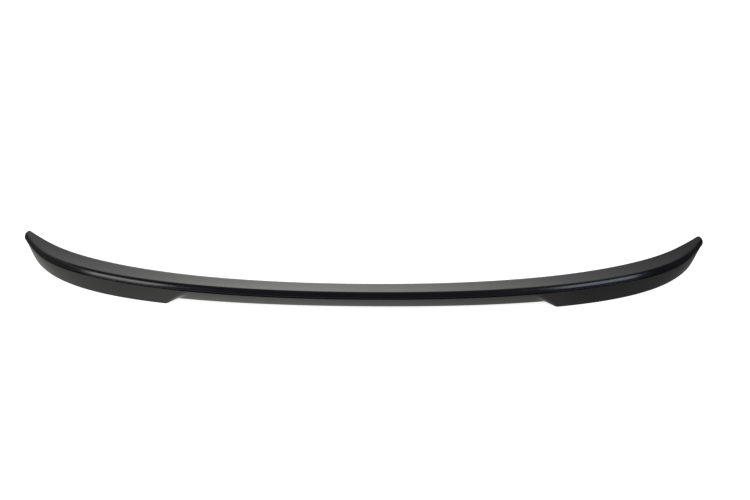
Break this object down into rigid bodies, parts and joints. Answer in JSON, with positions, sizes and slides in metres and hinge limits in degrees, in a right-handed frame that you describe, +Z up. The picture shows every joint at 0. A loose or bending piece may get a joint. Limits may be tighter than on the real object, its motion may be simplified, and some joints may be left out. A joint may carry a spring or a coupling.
{
  "type": "car rear spoiler",
  "caption": "Crescent lip spoiler for a car boot lid: one hollow moulded shell with a ridge, a rounded nose, deep outer lobes and tapered tips.",
  "frame": {"origin": "middle of the floor rectangle that the spoiler covers, at the height of the lobes' lower edges", "axes": "+X across the car, -Y to the rear of the car, +Z up"},
  "size_m": [1.2142, 0.2332, 0.0412],
  "materials": {
    "shell": "satin black moulded plastic with a very fine grain"
  },
  "bodies": {
    "root": {"spoiler_shell": "shell"}
  },
  "joints": []
}
